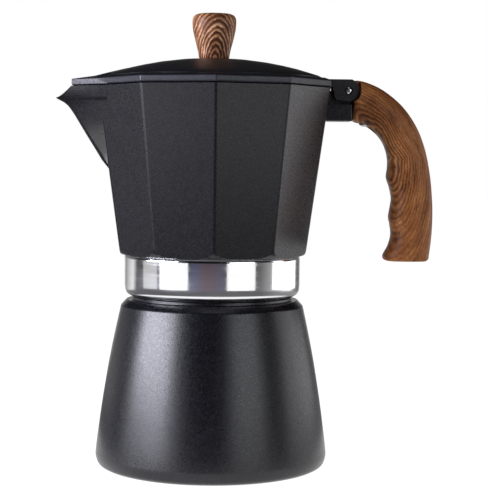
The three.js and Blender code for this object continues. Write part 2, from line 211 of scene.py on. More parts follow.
def plate(name, outline, y, edge=0.0):
    # a flat outline in the XZ plane, filled and drawn out from y[0] to y[1]
    piece = drawLine(name, list(outline) + [outline[0]])
    mergeClose()
    bpy.ops.mesh.select_all(action="SELECT")
    bpy.ops.mesh.edge_face_add()
    bpy.ops.transform.translate(value=(0, y[0] * mm, 0))
    bpy.ops.mesh.extrude_region_move(TRANSFORM_OT_translate={"value": (0, (y[1] - y[0]) * mm, 0)})
    faceOutward()
    if edge:
        softenEdges(piece, edge, degrees=40)
    return piece


def closeSlits(piece):
    # merges the points that a cut leaves almost on top of each other
    pick(piece)
    bpy.ops.object.mode_set(mode="EDIT")
    mergeClose(nearSpot)
    bpy.ops.mesh.select_all(action="SELECT")
    bpy.ops.mesh.dissolve_degenerate(threshold=sameSpot)
    bpy.ops.object.mode_set(mode="OBJECT")


def joinShapes(piece, other, operation="UNION"):
    modify(piece, "BOOLEAN", operation=operation, object=other, solver="EXACT")
    bpy.data.objects.remove(other, do_unlink=True)


def cutAway(piece, other):
    joinShapes(piece, other, "DIFFERENCE")


def boreAlongY(piece, name, radius, y, z, x=0.0):
    hole = rod(name, radius, *y)
    layAlongY(hole, z, x)
    cutAway(piece, hole)


def layAlongY(piece, z, x=0.0):
    # turns an upright piece so that its top points along +Y, at height z
    piece.rotation_euler = (-math.pi / 2, 0, 0)
    piece.location = (x * mm, 0, z * mm)
    placeInMesh(piece)


def sectionSkin(name, sections):
    # closed outlines of equal count, joined one to the next and filled at both ends
    clearSelection()
    bpy.ops.mesh.primitive_circle_add(vertices=len(sections[0]), radius=0.01)
    piece = newest(name)
    mesh = piece.data
    for vertex, place in zip(mesh.vertices, sections[0]):
        vertex.co = Vector(place) * mm
    count = len(sections[0])
    for section in sections[1:]:
        bpy.ops.object.mode_set(mode="EDIT")
        bpy.ops.mesh.extrude_region_move(TRANSFORM_OT_translate={"value": (0, 0, 0)})
        bpy.ops.object.mode_set(mode="OBJECT")
        for vertex, place in zip(list(mesh.vertices)[-count:], section):
            vertex.co = Vector(place) * mm
    bpy.ops.object.mode_set(mode="EDIT")
    bpy.ops.mesh.edge_face_add()
    bpy.ops.mesh.select_all(action="DESELECT")
    bpy.ops.mesh.select_non_manifold()
    bpy.ops.mesh.edge_face_add()
    faceOutward()
    return piece


# the boiler

boilerSettings = {
    "outside": [(0, 0), (46.6, 0, 0.8), (48.9, 1.2, 1.2), (50.0, 4.6, 1.4), (49.35, 10.7), (48.6, 16.5), (47.8, 22.5),
                (46.8, 29.5), (45.6, 37), (44.3, 44.8), (42.9, 52.2), (41.2, 60.4), (39.25, 69.2, 0.5),
                (36.8, 71.8, 0.5), (34.5, 71.8, 0.4), (34.5, 73.1, 0.4), (33.0, 73.3, 0.3)],
    "neck": [(33.0, 83.1, 0.5), (32.5, 83.6, 0.4), (30.8, 83.6, 0.3)],
    "inside": [(30.6, 82.9), (30.6, 71.6, 1.0), (33.6, 69.4), (36.2, 67, 2.0), (39.5, 52.4), (43.1, 31.6),
               (45.3, 16), (46.3, 6.0, 2.5), (43.6, 3.2, 2.0), (0, 3.2)],
    "thread": {"root": 33.0, "crest": 34.0, "low": 75.0, "turns": 2.25, "pitch": 3.0},
    "boss": {"radius": 7.6, "inner": 38.3, "outer": 44.8, "hole": 4.2, "height": 50},
    # where the metal is bare: in the cavity, and from a height up, within a reach, in the neck and on its rim
    "bare": {"floor": 3.0, "reach": 47.0, "lean": 0.1408, "widest": 46.6, "neck": (69, 33.9), "rim": (73.2, 34.4)},
}


def threadRidge(name, settings, inward=False):
    # a small wedge wound up the Z axis by the screw modifier
    sunk = settings["root"] + (0.4 if inward else -0.4)
    low = settings["low"]
    wedge = [(sunk, low - 1.15), (settings["crest"], low - 0.4), (settings["crest"], low + 0.4), (sunk, low + 1.15)]
    piece = drawLine(name, wedge + [wedge[0]])
    mergeClose()
    bpy.ops.object.mode_set(mode="OBJECT")
    turns = settings["turns"]
    steps = int(96 * turns)
    modify(piece, "SCREW", angle=2 * math.pi * turns, screw_offset=settings["pitch"] * mm * turns,
           steps=steps, render_steps=steps, use_smooth_shade=False)
    fillEnds(8)
    return piece


def makeBoiler():
    s = boilerSettings
    piece = turned("boilerShell", s["outside"] + s["neck"] + s["inside"], steps=160)
    boss = s["boss"]
    pad = rod("boilerBoss", boss["radius"], boss["inner"], boss["outer"], 0.35)
    layAlongY(pad, boss["height"])
    joinShapes(piece, pad)
    boreAlongY(piece, "boilerBossHole", boss["hole"], (30, 50), boss["height"])
    joinShapes(piece, threadRidge("boilerThread", s["thread"]))
    smoothSides(piece)
    return piece


def isBareInBoiler(x, y, z):
    bare = boilerSettings["bare"]
    reach = math.hypot(x, y)
    (neckZ, neckReach), (rimStart, rimReach) = bare["neck"], bare["rim"]
    if (z >= neckZ and reach < neckReach) or (z > rimStart and reach < rimReach):
        return True
    wall = min(bare["reach"] - bare["lean"] * max(0, z - bare["floor"]), bare["widest"])
    return bare["floor"] < z < neckZ and reach < wall


# the safety valve

valveSettings = {
    "height": 50, "hexFlats": 11, "nutFlats": 11.5,
    "spring": {"wire": 0.35, "reach": 1.9, "start": 40.6, "turns": 6, "length": 10.2, "steps": 192},
}


def hexRod(name, flats, low, high):
    piece = rod(name, flats / math.sqrt(3), low, high, 0, 6)
    cone = turned("hexChamfer", [(0, low - 1), (flats / 2 - 0.4, low - 1), (flats / 2 + 0.9, low + 0.5),
                                 (flats / 2 + 0.9, high - 0.5), (flats / 2 - 0.4, high + 1), (0, high + 1)], 64, 1)
    joinShapes(piece, cone, "INTERSECT")
    return piece


def makeValve():
    z = valveSettings["height"]
    body = hexRod("valveHex", valveSettings["hexFlats"], 45.9, 49.4)
    joinShapes(body, turned("valveShank", [(0, 33.6), (3.7, 33.6), (4.0, 33.9), (4.0, 46.2), (0, 46.2)], 64))
    joinShapes(body, turned("valveNose", [(0, 49), (4.4, 49), (4.4, 52.7, 0.5), (3.7, 53.35, 0.3), (0, 53.35)], 64))
    cutAway(body, rod("valveBore", 2.8, 38.6, 60))
    cutAway(body, rod("valveSeat", 1.5, 30, 45))
    washer = turned("valveWasherRing", [(5.0, 44.97), (6.1, 44.97, 0.2), (6.3, 45.3, 0.3), (6.1, 45.73, 0.2),
                                        (4.3, 45.73), (4.3, 44.97), (5.0, 44.97)], 64)
    nut = hexRod("valveNutHex", valveSettings["nutFlats"], 34.9, 38.15)
    cutAway(nut, rod("valveNutHole", 4.08, 30, 40))
    stem = turned("valvePlunger", [(0, 38.7), (2.5, 38.7, 0.3), (2.5, 40.1, 0.3), (0.9, 40.1, 0.2), (0.9, 54.6, 0.3),
                                   (0.5, 55.0, 0.2), (0, 55.0)], 48)
    cap = turned("valveCapRing", [(1.15, 51.3), (2.72, 51.3), (2.72, 52.2, 0.2), (2.4, 52.4, 0.2), (1.15, 52.4),
                                  (1.15, 51.3)], 48)
    clearSelection()
    s = valveSettings["spring"]
    bpy.ops.mesh.primitive_circle_add(vertices=10, radius=s["wire"] * mm, rotation=(math.pi / 2, 0, 0),
                                      location=(s["reach"] * mm, 0, s["start"] * mm))
    spring = bpy.context.object
    spring.name = "valveSpringCoil"
    placeInMesh(spring)
    modify(spring, "SCREW", angle=2 * math.pi * s["turns"], screw_offset=s["length"] * mm,
           steps=s["steps"], render_steps=s["steps"])
    fillEnds(12)
    for piece in (body, washer, nut, stem, cap, spring):
        layAlongY(piece, z)
        smoothSides(piece)
    return body, washer, nut, stem, cap, spring


# the coffee funnel, its strainer, the filter plate and the gasket

funnelSettings = {
    "profile": [(29.3, 84.5), (32.3, 84.5, 0.25), (32.8, 84.1, 0.3), (32.5, 83.75, 0.25), (30.2, 83.75, 0.6),
                (29.9, 83.0, 0.5), (29.9, 60.3, 1.2), (27.6, 58.6, 1.0), (7.6, 54.0, 2.0), (5.0, 50.6, 1.5),
                (5.0, 7.2, 0.2), (4.6, 7.0, 0.2), (4.2, 7.2, 0.2), (4.2, 51.0, 1.5), (7.0, 54.8, 2.0),
                (27.0, 59.4, 1.0), (29.1, 60.9, 1.0), (29.1, 83.9, 0.4), (29.3, 84.5)],
    "holeRadius": 0.75, "holeRings": 6, "holeSpacing": 3.9,
}


def holePunch(low, high):
    s = funnelSettings
    punch = rod("holePunch", s["holeRadius"], low, high, 0, 12)
    for ringNumber in range(1, s["holeRings"] + 1):
        around = rod("holeRow", s["holeRadius"], low, high, 0, 12)
        pick(around)
        bpy.ops.object.mode_set(mode="EDIT")
        bpy.ops.mesh.select_all(action="SELECT")
        bpy.ops.transform.translate(value=(ringNumber * s["holeSpacing"] * mm, 0, 0))
        bpy.ops.mesh.spin(steps=ringNumber * 6, angle=2 * math.pi, center=(0, 0, 0), axis=(0, 0, 1), dupli=True)
        mergeClose(0.01 * mm)
        bpy.ops.object.mode_set(mode="OBJECT")
        clearSelection()
        around.select_set(True)
        punch.select_set(True)
        bpy.context.view_layer.objects.active = punch
        bpy.ops.object.join()
    return punch


def makeFunnel():
    return turned("funnelShell", funnelSettings["profile"], steps=128, bend=3)


def makeStrainer():
    disc = turned("strainerDisc", [(0, 60.8), (28.6, 60.8, 0.2), (28.8, 61.1, 0.2), (28.6, 61.5, 0.2), (0, 61.5)], 96)
    cutAway(disc, holePunch(60, 62))
    smoothSides(disc)
    return disc


def makeFilterPlate():
    disc = turned("filterDisc", [(0, 85.9), (26.4, 85.9, 0.5), (27.0, 85.3, 0.5), (28.0, 85.3, 0.4),
                                 (28.3, 85.7, 0.3),
                                 (28.3, 87.8, 0.1), (27.7, 87.8, 0.1), (27.7, 86.5, 0.4), (0, 86.5)], 96)
    cutAway(disc, holePunch(85, 88))
    smoothSides(disc)
    return disc


def makeGasket():
    return turned("gasketRing", [(30, 84.7), (33.0, 84.7, 0.5), (33.4, 85.2, 0.5), (33.4, 87.4, 0.5),
                                 (33.0, 87.9, 0.5), (28.6, 87.9, 0.4), (28.6, 84.7, 0.4), (30, 84.7)], 96)


# the polished collar

collarSettings = {
    "profile": [(35.3, 75.4), (35.3, 74.4, 0.3), (34.95, 73.5, 0.25), (36.7, 74.2, 0.6), (37.75, 75.7, 0.8),
                (38.05, 78.0, 0.9), (38.1, 89.9, 0.4), (37.7, 90.85, 0.35), (35.15, 90.85, 0.2), (35.15, 88.0),
                (34.4, 88.0, 0.1), (34.4, 86.6, 0.1), (35.3, 86.6), (35.3, 75.4)],
    "thread": {"root": 35.3, "crest": 34.75, "low": 76.5, "turns": 2.7, "pitch": 3.0},
}


def makeCollar():
    piece = turned("collarBand", collarSettings["profile"], steps=192)
    joinShapes(piece, threadRidge("collarThread", collarSettings["thread"], inward=True))
    smoothSides(piece, 40)
    return piece


# the upper chamber with its spout, hinge lug and column

chamberSettings = {
    "bottom": 91.0, "floor": 97.0, "wall": 2.8, "cornerEdge": 0.8,
    "underEdge": [(0, 91.0), (38.3, 91.0, 0.3), (39.6, 91.3), (40.6, 92.1), (41.3, 93.4), (41.8, 95.4),
                  (60, 120), (60, 175), (0, 175)],
    "underside": [(0, 80), (27.4, 80), (27.4, 88.2), (25.6, 89.6, 1.0), (4.6, 94.2, 2.0), (3.2, 96.2, 0.8),
                  (3.2, 134.5), (2.0, 136.0), (0, 136.5)],
    "column": [(0, 94.8), (12, 94.8), (9.0, 97.2, 2.0), (7.4, 103.5, 4.0), (6.0, 136.4, 1.5), (5.2, 138.8, 1.2),
               (2.6, 140.2, 1.0), (0, 140.3)],
    "keel": [(120.0, 39.0), (127.6, 44.9), (131.2, 47.8), (136.3, 50.9), (141.4, 54.1), (146.0, 56.9), (150.0, 59.3),
             (153.0, 61.3), (155.0, 63.0), (156.3, 65.0), (157.2, 67.2), (158.4, 68.9), (160.2, 70.4),
             (162.4, 71.4), (190, 76.0)],
    "lip": [(-60.2, 162.6), (-61.6, 161.3), (-63.0, 160.1), (-64.5, 159.0), (-66.1, 158.1), (-67.6, 157.6),
            (-72, 157.3), (-72, 180), (-60.2, 180)],
    "lug": {"x": (40, 59.4), "halfWidth": 6.8, "z": (148.7, 156.4)},
    "tongue": {"x": (50, 70), "halfWidth": 3.5, "z": (152.6, 160)},
    "knuckle": {"radius": 4.3, "halfWidth": 3.7},
    # the last three are shares of the corner radius
    "spoutRoot": {"furthest": 44.6, "corner": 0.309, "sideDepth": 0.3633, "sideWidth": 0.5},
    "spoutShell": {"low": 123.5, "over": 0.4, "count": 34, "nose": 1.3},
    "spoutHollow": {"low": 133, "high": 176, "count": 32, "crowding": 1.15, "wall": 1.9, "nose": 0.9},
    "spoutBack": -38,
}


def cornerRadius(z):
    return rimCorner - sideTaper * (rimZ - z)


def sideReach(x, y):
    # how far out a point lies, square to the side it is nearest to
    return max(x * math.cos(i * math.pi / 5) + y * math.sin(i * math.pi / 5) for i in range(sides))


def tenSides(radius, z):
    angles = [(i + 0.5) * 2 * math.pi / sides for i in range(sides)]
    return [(radius * math.cos(a), radius * math.sin(a), z) for a in angles]


def smoothThrough(points, count):
    # evenly numbered points on a smooth line through the given ones
    spots = []
    last = len(points) - 1
    for k in range(count):
        t = k / (count - 1) * last
        i = min(int(t), last - 1)
        t -= i
        p0, p1, p2, p3 = (points[max(0, min(last, j))] for j in (i - 1, i, i + 1, i + 2))
        spots.append(tuple(
            0.5 * (2 * b + (c - a) * t + (2 * a - 5 * b + 4 * c - d) * t ** 2 + (3 * b - a - 3 * c + d) * t ** 3)
            for a, b, c, d in zip(p0, p1, p2, p3)))
    return spots


def keelReach(z):
    keel = chamberSettings["keel"]
    for (z0, x0), (z1, x1) in zip(keel, keel[1:]):
        if z <= z1:
            return x0 + (x1 - x0) * (z - z0) / (z1 - z0)
    return keel[-1][1]


def spoutRoot(z):
    s = chamberSettings["spoutRoot"]
    radius = cornerRadius(z)
    flat = radius * math.cos(math.pi / sides)
    reach = min(s["furthest"], flat - 0.05)
    return reach, radius * s["corner"] + (flat - reach) / (radius * s["sideDepth"]) * radius * s["sideWidth"]


def spoutSection(z, reach, rootX, rootY, nose):
    # a V seen from above, its fold rounded
    side = [(chamberSettings["spoutBack"], rootY), (-rootX, rootY), (-reach + nose, nose * 1.05),
            (-reach + nose * 0.35, nose * 0.62)]
    other = [(x, -y) for x, y in reversed(side)]
    return [(x, y, z) for x, y in side + [(-reach, 0)] + other]


def spoutOutside():
    s = chamberSettings["spoutShell"]
    sections = []
    for k in range(s["count"]):
        z = s["low"] + (rimZ + s["over"] - s["low"]) * k / (s["count"] - 1)
        rootX, rootY = spoutRoot(min(z, rimZ))
        reach = keelReach(z)
        inside = max(0.0, rootX + 1.5 - reach)
        sections.append(spoutSection(z, reach, rootX - inside, rootY + inside * 0.4, s["nose"]))
    return sectionSkin("spoutShell", sections)


def spoutChannel():
    s = chamberSettings["spoutHollow"]
    sections = []
    for k in range(s["count"]):
        z = s["low"] + (s["high"] - s["low"]) * (k / (s["count"] - 1)) ** s["crowding"]
        rootX, rootY = spoutRoot(min(z, rimZ))
        sections.append(spoutSection(z, keelReach(z - 2.0) - s["wall"], rootX - 1.2, rootY - 3.0, s["nose"]))
    return sectionSkin("spoutHollow", sections)


def pickEdges(piece, wanted):
    pick(piece)
    bpy.ops.object.mode_set(mode="EDIT")
    bpy.ops.mesh.select_mode(type="EDGE")
    bpy.ops.mesh.select_all(action="DESELECT")
    bpy.ops.object.mode_set(mode="OBJECT")
    corners = piece.data.vertices
    for edge in piece.data.edges:
        a, b = (corners[i].co for i in edge.vertices)
        edge.select = wanted(a, b)
    bpy.ops.object.mode_set(mode="EDIT")


def tenSided(name, low, high, radiusLow, radiusHigh, edge):
    # a primitive cone with ten sides, its upright edges rounded
    clearSelection()
    bpy.ops.mesh.primitive_cone_add(
        vertices=sides, radius1=radiusLow * mm, radius2=radiusHigh * mm, depth=(high - low) * mm,
        location=(0, 0, (low + high) / 2 * mm))
    piece = newest(name)
    placeInMesh(piece)
    pickEdges(piece, lambda a, b: abs(a.z - b.z) > mm)
    bpy.ops.mesh.bevel(offset=edge * mm, segments=4, profile=0.5)
    bpy.ops.mesh.select_mode(type="VERT")
    bpy.ops.object.mode_set(mode="OBJECT")
    return piece


def makeChamber():
    s = chamberSettings
    piece = tenSided("chamberShell", 88, rimZ, cornerRadius(88), rimCorner, s["cornerEdge"])
    joinShapes(piece, turned("underEdge", s["underEdge"], steps=160), "INTERSECT")
    spout = spoutOutside()
    cutAway(spout, plate("lipShape", smoothThrough(s["lip"][:6], 24) + s["lip"][6:], (-30, 30)))
    joinShapes(piece, spout)
    flush = block("rimFlush", (-90, 90), (-90, 90), (rimZ, rimZ + 30))
    cutAway(piece, flush)
    joinShapes(piece, turned("spigot", [(0, 88.2), (34.6, 88.2), (35.0, 88.6), (35.0, 91.6), (0, 91.6)], 128))
    lug = s["lug"]
    joinShapes(piece, block("lugBlock", lug["x"], (-lug["halfWidth"], lug["halfWidth"]), lug["z"], 0.9))
    width = s["knuckle"]["halfWidth"]
    x, z = pinPlace
    joinShapes(piece, block("lugWeb", (40, x), (0.15 - width, width - 0.15), (150, z)))
    knuckle = rod("lugKnuckle", s["knuckle"]["radius"], -width, width, 0.3)
    layAlongY(knuckle, z, x)
    joinShapes(piece, knuckle)
    hollow = sectionSkin("chamberHollow", [
        tenSides(cornerRadius(97) - s["wall"] - 3.4, 97.0), tenSides(cornerRadius(98) - s["wall"] - 1.2, 98.0),
        tenSides(cornerRadius(100) - s["wall"], 100.0), tenSides(cornerRadius(175) - s["wall"], 175.0)])
    cutAway(piece, hollow)
    cutAway(piece, spoutChannel())
    joinShapes(piece, turned("columnPipe", s["column"], steps=96))
    tongue = s["tongue"]
    joinShapes(piece, block("handleTongue", tongue["x"], (-tongue["halfWidth"], tongue["halfWidth"]), tongue["z"],
                            0.4))
    cutAway(piece, turned("undersideHollow", s["underside"], steps=96))
    boreAlongY(piece, "columnOutlet", 1.9, (-12, 12), 131.5)
    boreAlongY(piece, "pinHole", 1.55, (-10, 10), z, x)
    screwHole = rod("tongueHole", 2.0, 150, 158)
    moveAlongX(screwHole, handleScrewX)
    cutAway(piece, screwHole)
    closeSlits(piece)
    flatSides(piece, 24)
    wear(piece, "coating", "cast")
    for face in piece.data.polygons:
        x, y, z = face.center / mm
        reach = sideReach(x, y)
        depth = cornerRadius(z) * math.cos(math.pi / sides) - reach
        inCup = 96.5 < z < rimZ - 0.05 and depth > 1.9
        inSpout = x < -41 and face.normal.x > 0.05 and z < rimZ - 0.05
        under = z < 91.2 and math.hypot(x, y) < 37.5
        face.material_index = 1 if inCup or inSpout or under else 0
    return piece


# the lid with its beak and hinge ears

lidSettings = {
    "bottom": 162.75,
    "rim": [(51.1, 162.75), (51.6, 163.2), (51.6, 165.4), (51.1, 165.9), (48.8, 166.75)],
    "dome": [(0, 163.5), (45.9, 163.5), (46.9, 166.9), (45.1, 167.85), (40.6, 169.2), (36.2, 170.5), (30.9, 171.75),
             (24.3, 173.05), (15.9, 174.2), (7.0, 174.7), (0, 174.7)],
    "hollow": [(0, 150), (45.6, 150), (45.6, 164.9, 1.2), (44.4, 166.0), (40.4, 167.3), (36.0, 168.6), (30.7, 169.9),
               (24.1, 171.2), (15.7, 172.4), (7.5, 173.1), (0, 173.1)],
    "beak": [(-36, 27.6, 170.2), (-44.6, 21.9, 168.3), (-50.5, 16.6, 166.95), (-60.3, 7.7, 165.75)],
    "ears": {"inner": 4.0, "outer": 6.6, "radius": 4.6, "hole": 1.65},
}


def beakSections(inset, low, endX):
    sections = []
    for x, width, top in lidSettings["beak"]:
        x = max(x, endX)
        w = width - inset
        shoulder = min(165.4, top - 0.35) - inset
        sections.append([(x, -w, low), (x, w, low), (x, w, shoulder), (x, w * 0.45, top - inset - 0.12),
                         (x, 0, top - inset), (x, -w * 0.45, top - inset - 0.12), (x, -w, shoulder)])
    return sections


def makeLid():
    s = lidSettings
    piece = sectionSkin("lidShell", [tenSides(radius, z) for radius, z in s["rim"]])
    softenEdges(piece, 0.35, 2, 20)
    joinShapes(piece, turned("lidDome", s["dome"], steps=160))
    beak = sectionSkin("lidBeak", beakSections(0, s["bottom"], -60.3))
    softenEdges(beak, 0.4, 3, 25)
    joinShapes(piece, beak)
    cutAway(piece, turned("lidHollow", s["hollow"], steps=128))
    cutAway(piece, sectionSkin("beakHollow", beakSections(1.7, 150, -58.6)))
    ears = s["ears"]
    x, z = pinPlace
    outline = [(46.4, 163.3), (50.9, 163.3), (51.1, 160.2), (51.5, 158.6), (52.5, 157.7), (x - 2, 157.4)]
    for k in range(15):
        angle = -math.pi / 2 + k / 14 * math.pi * 0.82
        outline.append((x + ears["radius"] * math.cos(angle), z + ears["radius"] * math.sin(angle)))
    outline += [(60.1, 165.9), (58.9, 166.6), (46.4, 166.6)]
    for low, high in ((-ears["outer"], -ears["inner"]), (ears["inner"], ears["outer"])):
        joinShapes(piece, plate("lidEar", outline, (low, high), 0.35))
    boreAlongY(piece, "earHole", ears["hole"], (-10, 10), z, x)
    cutAway(piece, rod("knobHole", 2.2, 170, 180))
    flatSides(piece, 26)
    return piece


# the handle, swept from the heel up to the lug

handleSettings = {
    "outer": [(93.5, 88.9), (93.9, 92.4), (94.4, 96.6), (94.8, 101.6), (95.0, 107), (94.95, 112), (94.6, 117),
              (94.1, 122.5), (93.3, 128), (92.2, 133.6), (90.6, 139.3), (88.3, 145), (85.2, 150.4), (81.2, 155.5),
              (76.6, 159.6), (71.8, 162.9), (67.2, 165.0), (63.2, 166.2), (59.7, 166.5)],
    "inner": [(74.3, 88.9), (73.9, 91.2), (76.0, 95.2), (77.2, 100), (76.7, 104.6), (76.1, 107.8), (76.8, 112.3),
              (77.2, 116), (76.2, 120.8), (74.9, 124.8), (75.3, 128.6), (75.4, 132), (74.7, 135.8), (73.2, 139.6),
              (70.8, 142.9), (68.4, 145.0), (65.8, 146.6), (62.9, 147.9), (59.7, 148.6)],
    "halfWidth": 9.45, "squareness": 2.7, "around": 40, "stations": 76,
    "slot": {"x": (50, 70.3), "halfWidth": 3.8, "z": (152.3, 160.3)},
}


def makeHandle():
    s = handleSettings
    outer = smoothThrough(s["outer"], s["stations"])
    inner = smoothThrough(s["inner"], s["stations"])
    sections = []
    for k, ((xo, zo), (xi, zi)) in enumerate(zip(outer, inner)):
        fromEnd = min(k, s["stations"] - 1 - k)
        trim = (0.9, 0.25, 0.0)[min(fromEnd, 2)]
        middle = ((xo + xi) / 2, (zo + zi) / 2)
        half = math.hypot(xo - xi, zo - zi) / 2
        way = ((xo - xi) / 2 / half, (zo - zi) / 2 / half)
        section = []
        for i in range(s["around"]):
            a = 2 * math.pi * i / s["around"]
            c, d = math.cos(a), math.sin(a)
            across = math.copysign(abs(c) ** (2 / s["squareness"]), c) * (half - trim)
            along = math.copysign(abs(d) ** (2 / s["squareness"]), d) * (s["halfWidth"] - trim)
            section.append((middle[0] + way[0] * across, along, middle[1] + way[1] * across))
        sections.append(section)
    piece = sectionSkin("gripBody", sections)
    x, z = pinPlace
    for low, high in ((-20, -3.8), (3.8, 20)):
        cutAway(piece, block("earPocket", (40, 57.5), (low, high), (156.9, 190)))
        cutAway(piece, block("earPocketTop", (40, 62.7), (low, high), (161.8, 190)))
        boreAlongY(piece, "earPocketRound", 5.2, (low, high), z, x)
    cutAway(piece, block("knucklePocket", (40, x), (-3.8, 3.8), (156.9, 190)))
    boreAlongY(piece, "knuckleHollow", 4.7, (-3.8, 3.8), z, x)
    slot = s["slot"]
    cutAway(piece, block("tongueSlot", slot["x"], (-slot["halfWidth"], slot["halfWidth"]), slot["z"]))
    for radius, low, high in ((2.2, 140, 155), (4.2, 140, 149.6)):
        hole = rod("gripHole", radius, low, high)
        moveAlongX(hole, handleScrewX)
        cutAway(piece, hole)
    smoothSides(piece, 38)
    return piece


# the knob, the screws, the washers and the hinge pin

knobSettings = {
    "profile": [(0, 174.8), (6.1, 174.8, 0.3), (6.55, 175.6), (6.75, 177.2), (7.35, 179.8), (8.0, 182.2),
                (8.6, 184.7),
                (9.15, 187.2), (9.4, 189.8), (9.35, 191.6), (8.9, 193.1, 1.2), (7.4, 194.0, 1.4), (0, 194.3)],
}


def makeKnob():
    piece = turned("knobBody", knobSettings["profile"], steps=128, bend=6)
    cutAway(piece, rod("knobSocket", 3.5, 176.2, 184.8))
    cutAway(piece, rod("knobEntry", 2.3, 170, 177))
    smoothSides(piece, 38)
    return piece


def crossScrew(name, top, reach, length, x=0.0):
    # pan head pointing down, with a cross slot
    piece = turned(name, [(0, top - 2.0), (2.0, top - 1.95, 0.8), (3.2, top - 1.45, 0.8), (3.55, top - 0.5, 0.4),
                          (3.55, top, 0.15), (1.9, top, 0.2), (1.9, length - 0.4, 0.2), (1.4, length),
                          (0, length)], 64)
    for size in ((2.5, 0.42), (0.42, 2.5)):
        cutAway(piece, block("crossSlot", (-size[0], size[0]), (-size[1], size[1]), (top - 4, top - reach), 0.08))
    moveAlongX(piece, x)
    smoothSides(piece)
    return piece


def flatWasher(name, hole, outside, low, high, x=0.0):
    middle = (hole + outside) / 2
    piece = turned(name, [(middle, low), (outside, low, 0.2), (outside, high, 0.2), (hole, high, 0.12),
                          (hole, low, 0.12), (middle, low)], 64)
    moveAlongX(piece, x)
    return piece


def makeSmallPieces():
    x, z = pinPlace
    pin = turned("pinRod", [(0, -6.9), (0.9, -6.85, 0.3), (1.5, -6.4, 0.3), (1.5, 6.4, 0.3), (0.9, 6.85, 0.3),
                            (0, 6.9)], 64)
    layAlongY(pin, z, x)
    insert = turned("insertSleeve", [(2.7, 176.4), (3.1, 176.4), (3.4, 176.8), (3.4, 184.0), (3.1, 184.4),
                                     (2.02, 184.4), (2.02, 176.4), (2.7, 176.4)], 48)
    return [
        (pin, "hinge_pin", "upper_body", "brightSteel"),
        (insert, "knob_insert", "lid_body", "brass"),
        (crossScrew("knobFixing", 172.0, 1.2, 183.8), "knob_screw", "lid_body", "steel"),
        (flatWasher("knobWasherDisc", 2.15, 5.0, 172.1, 172.9), "knob_washer", "lid_body", "steel"),
        (crossScrew("handleFixing", 148.65, 1.2, 157.4, handleScrewX), "handle_screw", "upper_body", "steel"),
        (flatWasher("handleWasherDisc", 2.15, 3.9, 148.75, 149.5, handleScrewX), "handle_washer",
         "upper_body", "steel"),
    ]


# finishes

class Nodes:
    # a short way to write a node tree: add nodes, join sockets
    def __init__(self, name):
        self.material = bpy.data.materials.new(name)
        self.material.use_nodes = True
        self.tree = self.material.node_tree
        self.shader = self.tree.nodes["Principled BSDF"]
        self.place = self.add("ShaderNodeTexCoord").outputs["Object"]

    def add(self, kind, **values):
        node = self.tree.nodes.new(kind)
        for key, value in values.items():
            setattr(node, key, value)
        return node

    def join(self, source, target):
        self.tree.links.new(source, target)

    def noise(self, scale, detail=3, roughness=0.5, place=None):
        node = self.add("ShaderNodeTexNoise")
        node.inputs["Scale"].default_value = scale
        node.inputs["Detail"].default_value = detail
        node.inputs["Roughness"].default_value = roughness
        self.join(place or self.place, node.inputs["Vector"])
        return node.outputs["Fac"]

    def ramp(self, source, stops):
        node = self.add("ShaderNodeValToRGB")
        marks = node.color_ramp.elements
        while len(marks) < len(stops):
            marks.new(0.5)
        for mark, (position, color) in zip(marks, stops):
            mark.position = position
            mark.color = (*color, 1) if len(color) == 3 else (color[0], color[0], color[0], 1)
        self.join(source, node.inputs["Fac"])
        return node.outputs["Color"]

    def spread(self, source, low, high, fromLow=0.0, fromHigh=1.0):
        node = self.add("ShaderNodeMapRange")
        for key, value in (("From Min", fromLow), ("From Max", fromHigh), ("To Min", low), ("To Max", high)):
            node.inputs[key].default_value = value
        self.join(source, node.inputs["Value"])
        return node.outputs["Result"]

    def scaled(self, *sizes):
        node = self.add("ShaderNodeMapping")
        node.inputs["Scale"].default_value = sizes
        self.join(self.place, node.inputs["Vector"])
        return node.outputs["Vector"]

    def sums(self, operation, first, second):
        node = self.add("ShaderNodeMath", operation=operation)
        for socket, value in zip(node.inputs, (first, second)):
            if isinstance(value, (int, float)):
                socket.default_value = value
            else:
                self.join(value, socket)
        return node.outputs[0]

    def relief(self, source, distance, strength):
        node = self.add("ShaderNodeBump")
        node.inputs["Strength"].default_value = strength
        node.inputs["Distance"].default_value = distance
        self.join(source, node.inputs["Height"])
        return node.outputs["Normal"]

    def apart(self, vector):
        node = self.add("ShaderNodeSeparateXYZ")
        self.join(vector, node.inputs[0])
        return node.outputs

    def together(self, x, y):
        node = self.add("ShaderNodeCombineXYZ")
        self.join(x, node.inputs[0])
        self.join(y, node.inputs[1])
        return node.outputs[0]

    def mixed(self, amount, first, second, **values):
        # a number, a color or a socket for each; all of the first at amount 0
        node = self.add("ShaderNodeMix", data_type="RGBA", **values)
        for place, value in ((0, amount), (6, first), (7, second)):
            if isinstance(value, (int, float, tuple)):
                node.inputs[place].default_value = value
            else:
                self.join(value, node.inputs[place])
        return node.outputs[2]

    def reach(self, x, y):
        return self.sums("SQRT", self.sums("ADD", self.sums("MULTIPLY", x, x), self.sums("MULTIPLY", y, y)), 0)

    def polar(self):
        # distance from the Z axis and height, for marks that run round it
        x, y, z = self.apart(self.place)
        return self.reach(x, y), z

    def finish(self, color=None, roughness=None, normal=None, **fixed):
        for key, value in fixed.items():
            self.shader.inputs[key.replace("_", " ")].default_value = value
        for key, source in (("Base Color", color), ("Roughness", roughness), ("Normal", normal)):
            if source is None:
                continue
            if isinstance(source, (int, float, tuple)):
                self.shader.inputs[key].default_value = (*source, 1) if isinstance(source, tuple) else source
            else:
                self.join(source, self.shader.inputs[key])
        return self.material


coatingSettings = {"dark": (0.0014, 0.0015, 0.0032), "light": (0.0040, 0.0041, 0.0076),
                   "fleck": (0.014, 0.014, 0.020)}


